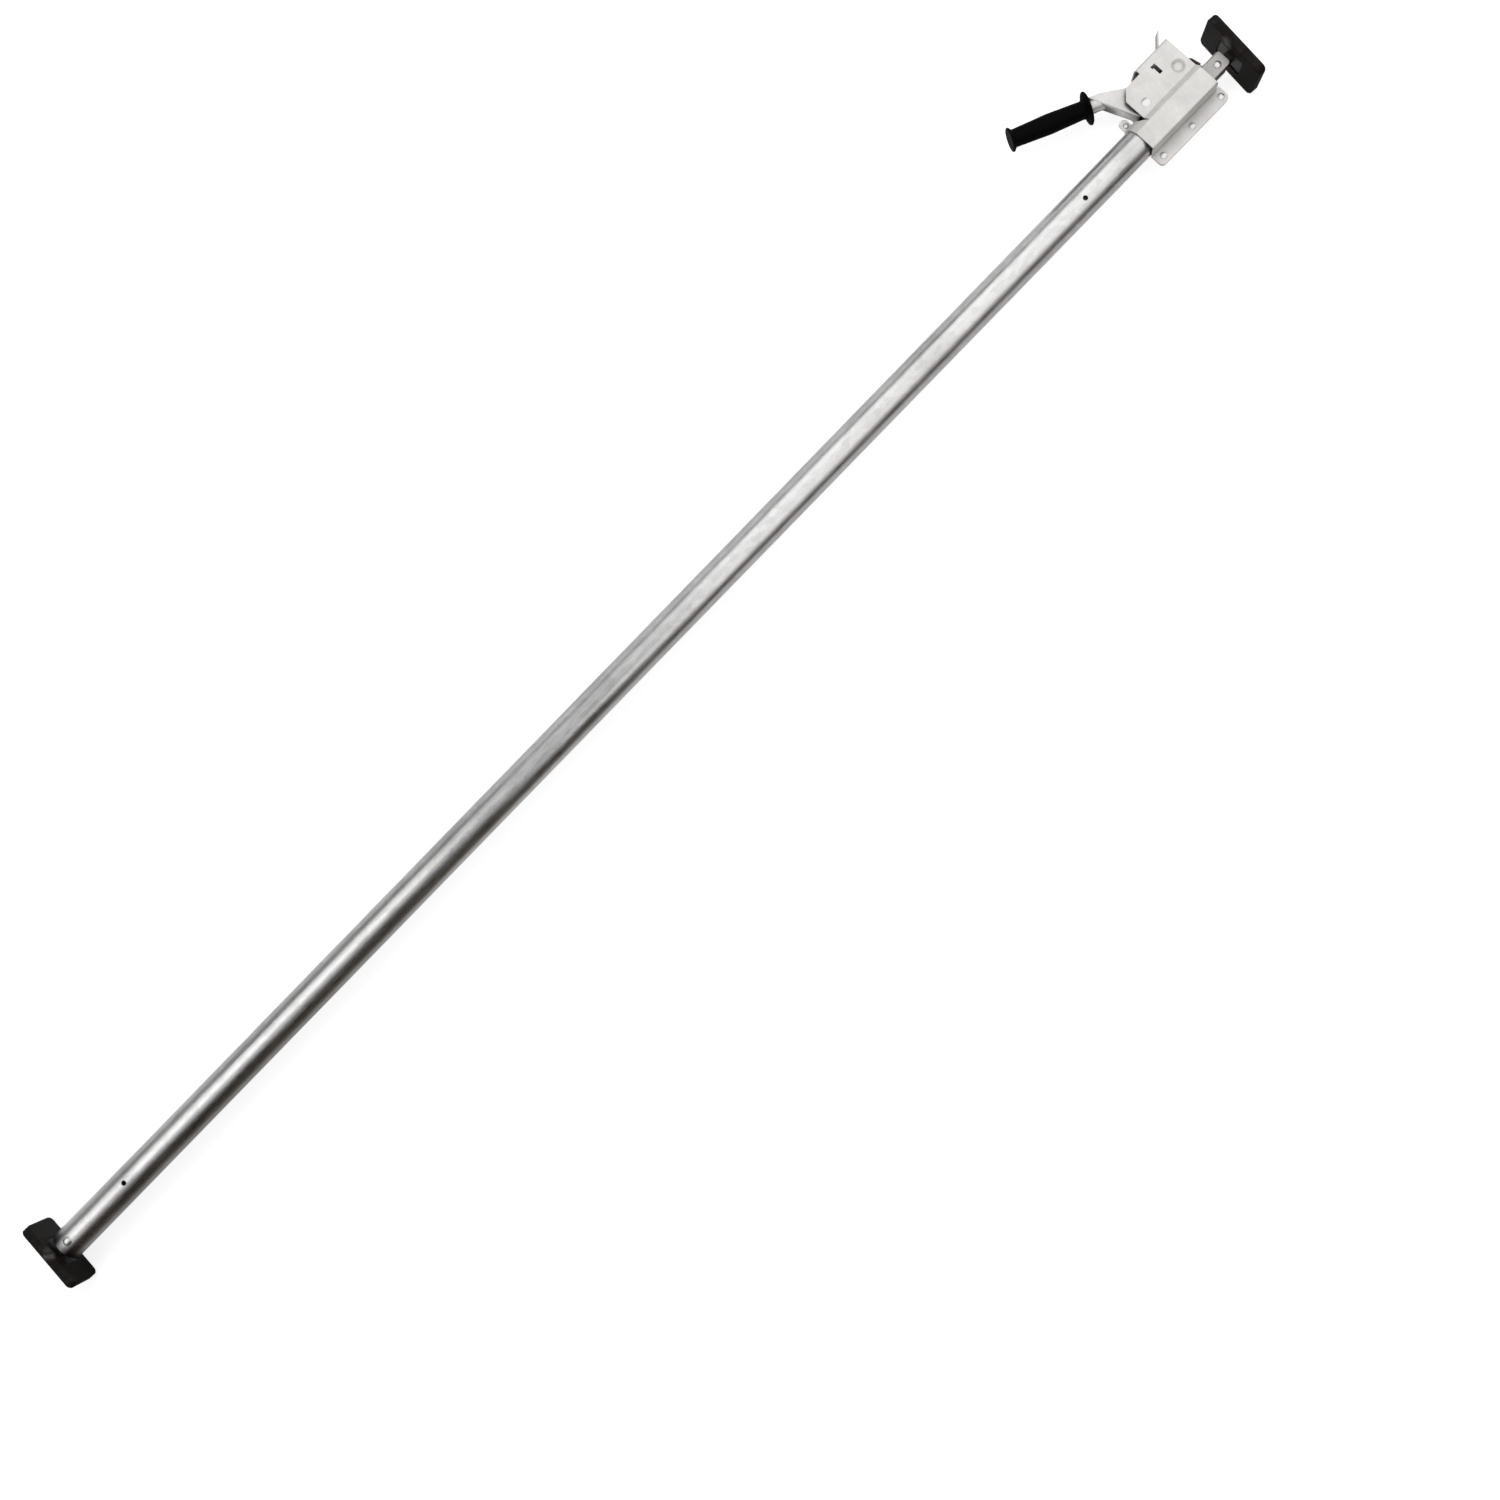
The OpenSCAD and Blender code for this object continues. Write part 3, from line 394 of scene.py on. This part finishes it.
def soft_card(panel, corners, size, level, soft_across, soft_along, most, warmth, shades):
    """Gives a card its grey. It is seen in reflections, and with shades also dims soft light."""
    layer = panel.data.uv_layers.new(name="spread")
    for loop in panel.data.loops:
        layer.data[loop.index].uv = corners[loop.vertex_index]
    material = bpy.data.materials.new(panel.name)
    t = Tree(material)
    cover = faded(t, size, soft_across, soft_along, most)
    shade = t.add("ShaderNodeEmission", {"Color": warm(level, warmth), "Strength": 1.0})
    clear = t.add("ShaderNodeBsdfTransparent")
    t.finish(t.add("ShaderNodeMixShader", {0: cover, 1: clear.outputs[0], 2: shade.outputs[0]}))
    panel.data.materials.append(material)
    for way in ("camera", "transmission", "shadow", "volume_scatter"):
        setattr(panel, "visible_" + way, False)
    panel.visible_diffuse = shades


def tent_panel(name, x_range, turn_range, level, soft_x, soft_turn, radius=TENT_RADIUS, most=1.0,
               warmth=0.0, shades=False):
    """A grey panel of the tent, with edges that fade over soft_x and soft_turn.

    turn_range is in degrees about the tube's axis, from straight up towards +Y.
    """
    long, tall = x_range[1] - x_range[0], turn_range[1] - turn_range[0]
    turns = [math.radians(turn_range[0] + tall * i / TENT_STEPS) for i in range(TENT_STEPS + 1)]
    points = [(x, radius * math.sin(a), radius * math.cos(a)) for a in turns for x in x_range]
    faces = [(2 * i, 2 * i + 1, 2 * i + 3, 2 * i + 2) for i in range(TENT_STEPS)]
    corners = [(i % 2, i // 2 / TENT_STEPS) for i in range(len(points))]
    soft_card(mesh_object(name, points, faces), corners, (long, tall), level, soft_x, soft_turn,
              most, warmth, shades)


def floor_card(name, x_range, y_range, level, soft_x, soft_y, lift, warmth=0.0):
    """A grey card lying lift millimetres over the floor, seen only in reflections."""
    long, wide = x_range[1] - x_range[0], y_range[1] - y_range[0]
    points = [(x, y, FLOOR_Z + lift * MM) for y in y_range for x in x_range]
    corners = [(i % 2, i // 2) for i in range(4)]
    soft_card(mesh_object(name, points, [(0, 1, 3, 2)]), corners, (long, wide), level, soft_x,
              soft_y, 1.0, warmth, False)


def make_tent():
    """Panels and cards that give the round tube its light and dark bands.

    They change from the fixed foot to the jack, as the bands in the photograph do. A panel with a
    smaller radius hangs in front of the others.
    """
    tent_panel("dark_side", (TENT[0], 1.0), (-100, 12), 0.02, (0.0, 0.35), (2, 58),
               warmth=BROWN, shades=True)
    tent_panel("dark_middle", (0.3, 1.36), (-100, -36), 0.02, (0.3, 0.36), (4, 28),
               radius=1.48, warmth=BROWN)
    tent_panel("dark_skirt", (0.0, TENT[1]), (-98, -44), 0.03, (0.6, 0.0), (6, 42),
               radius=1.46, warmth=BROWN, shades=True)
    tent_panel("dark_skirt_head", (1.35, TENT[1]), (-98, -36), 0.03, (0.7, 0.0), (6, 40),
               radius=1.45, most=0.6, warmth=BROWN)
    tent_panel("grey_gap", (0.35, 1.30), (-40, 75), 0.38, (0.40, 0.24), (20, 20), radius=1.44)
    tent_panel("soft_light", (0.9, TENT[1]), (16, 44), 1.16, (0.5, 0.0), (8, 8), radius=1.42)
    tent_panel("foot_light", (TENT[0], 0.75), (-8, 32), 1.36, (0.0, 0.5), (18, 18), radius=1.42)
    tent_panel("far_side", TENT, (37, 104), 0.60, (0.0, 0.0), (20, 8), radius=1.40)
    tent_panel("far_line", TENT, (40, 76), 0.26, (0.0, 0.0), (12, 16), radius=1.39)
    tent_panel("far_side_foot", (TENT[0], 0.9), (34, 100), 0.21, (0.0, 0.7), (36, 30),
               radius=1.38)
    floor_card("near_card", TENT, (-CARD_REACH, -0.020), 0.45, (0.0, 0.0), (0.1, 0.004), 1.0)
    floor_card("near_strip_foot", (TENT[0], 1.0), (-0.15, -0.018), 0.25, (0.0, 0.6),
               (0.05, 0.004), 1.15)
    floor_card("near_card_edge", TENT, (-CARD_REACH, -0.17), 0.04, (0.0, 0.0), (0.05, 0.12), 1.3,
               warmth=BROWN)
    floor_card("near_card_foot", (TENT[0], 1.35), (-CARD_REACH, -0.07), 0.07, (0.0, 0.5),
               (0.05, 0.08), 1.6, warmth=BROWN)
    # A grey card under the lever stands in for the floor's shadow there: painted shade, seen in
    # the lever's reflection.
    floor_card("painted_floor_shade_under_lever", (1.94, 2.14), (0.044, 0.170), 0.28, (0.06, 0.02), (0.01, 0.03), 14.0)
    floor_card("far_card", TENT, (0.036, CARD_REACH), 0.48, (0.0, 0.0), (0.05, 0.1), 1.0)


def make_key():
    """One soft lamp from above the handle's side, left out of reflections."""
    lamp = bpy.data.lights.new("key", "AREA")
    lamp.shape = "RECTANGLE"
    lamp.size, lamp.size_y = KEY_SIZE
    lamp.energy = KEY_WATTS
    key = bpy.data.objects.new("key", lamp)
    key.location = KEY_AT
    key.rotation_euler = (Vector(KEY_AIM) - Vector(KEY_AT)).to_track_quat("-Z", "Y").to_euler()
    key.visible_glossy = False
    bpy.context.scene.collection.objects.link(key)


def make_camera():
    """Looks down on the bar, rolled so that it runs from the lower left to the upper right."""
    data = bpy.data.cameras.new("camera")
    data.lens = CAMERA_LENS
    data.sensor_width = CAMERA_SENSOR
    data.clip_end = CAMERA_REACH
    camera = bpy.data.objects.new("camera", data)
    look = (Vector(CAMERA_AIM) - Vector(CAMERA_AT)).normalized()
    level_right = look.cross(Vector((0, 1, 0))).normalized()
    level_up = level_right.cross(look)
    roll = math.radians(CAMERA_ROLL)
    up = math.cos(roll) * level_up + math.sin(roll) * level_right
    right = look.cross(up)
    turn = Matrix((right, up, -look)).transposed().to_4x4()
    camera.matrix_world = Matrix.Translation(CAMERA_AT) @ turn
    bpy.context.scene.collection.objects.link(camera)
    bpy.context.scene.camera = camera


dress_zinc()
dress_steel()
dress_rubber()
make_floor()
make_world()
make_tent()
make_key()
make_camera()
bpy.context.scene.view_settings.view_transform = "Standard"
